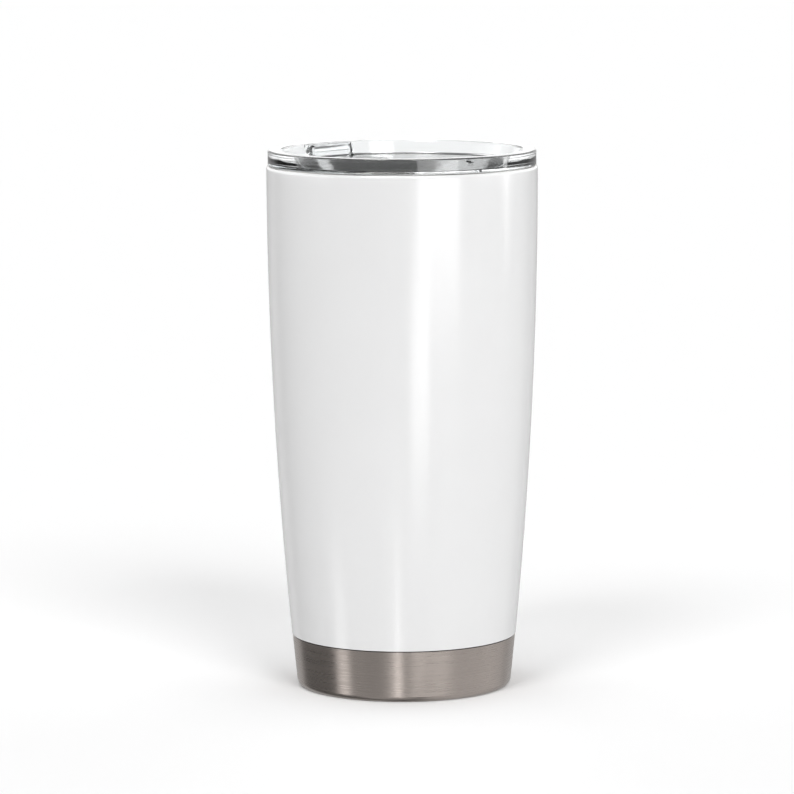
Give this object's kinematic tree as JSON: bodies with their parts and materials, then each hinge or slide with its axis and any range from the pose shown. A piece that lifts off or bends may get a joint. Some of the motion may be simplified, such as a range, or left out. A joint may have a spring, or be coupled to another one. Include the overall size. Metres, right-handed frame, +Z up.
{
  "type": "insulated tumbler with lid",
  "caption": "Double-wall steel tumbler, white coated over a bare steel foot band, with a clear press-in lid and a sliding closure over its drinking hole.",
  "frame": {"origin": "centre of the foot ring, on the surface that the tumbler stands on", "axes": "+Z up the cup's axis, +Y from the axis towards the drinking hole, along which the slider travels"},
  "size_m": [0.088, 0.088, 0.1755],
  "materials": {
    "steel": "brushed round the cup",
    "liner_steel": "electropolished satin",
    "powder_coat": "white powder coat, a cured polymer, satin gloss",
    "foil": "bright foil",
    "getter": "sintered, dull",
    "solder_glass": "dark fused glass",
    "clear_plastic": "clear moulded plastic, glossy",
    "silicone": "translucent silicone, satin"
  },
  "bodies": {
    "cup": {"outer_shell": "steel", "powder_coat": "powder_coat", "inner_liner": "liner_steel", "heat_foil": "foil", "vacuum_bottom": "liner_steel", "getter_pellet": "getter", "getter_clip": "liner_steel", "port_seal": "solder_glass", "base_cap": "steel"},
    "lid": {"lid_body": "clear_plastic", "lid_seal": "silicone"},
    "slider": {"lid_slider": "clear_plastic"}
  },
  "joints": [
    {"name": "lid_lift", "type": "slide", "parent": "cup", "child": "lid", "axis": [0, 0, 1], "range_m": [0, 0.04]},
    {"name": "closure_slide", "type": "slide", "parent": "lid", "child": "slider", "axis": [0, -1, 0], "range_m": [0, 0.0124]}
  ]
}
